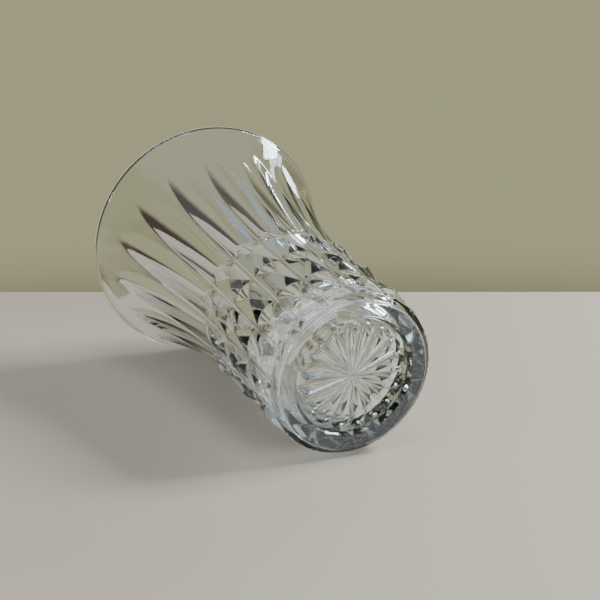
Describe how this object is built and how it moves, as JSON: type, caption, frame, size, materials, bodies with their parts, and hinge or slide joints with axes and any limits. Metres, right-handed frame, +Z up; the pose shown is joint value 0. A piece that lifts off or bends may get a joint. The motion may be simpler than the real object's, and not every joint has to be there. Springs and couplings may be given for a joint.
{
  "type": "mixing glass",
  "caption": "Flared bar mixing glass in clear pressed glass, with long flutes, a band of diamond-point bosses and a thick star base.",
  "frame": {"origin": "centre of the resting ring, on the plane it stands on", "axes": "+Z up along the glass's axis from the resting ring to the lip; +X through the middle of one flute column, with a rib 11.25 degrees to each side of it"},
  "size_m": [0.109, 0.109, 0.16],
  "materials": {
    "clear_glass": "polished"
  },
  "bodies": {
    "root": {"mixing_glass": "clear_glass"}
  },
  "joints": []
}
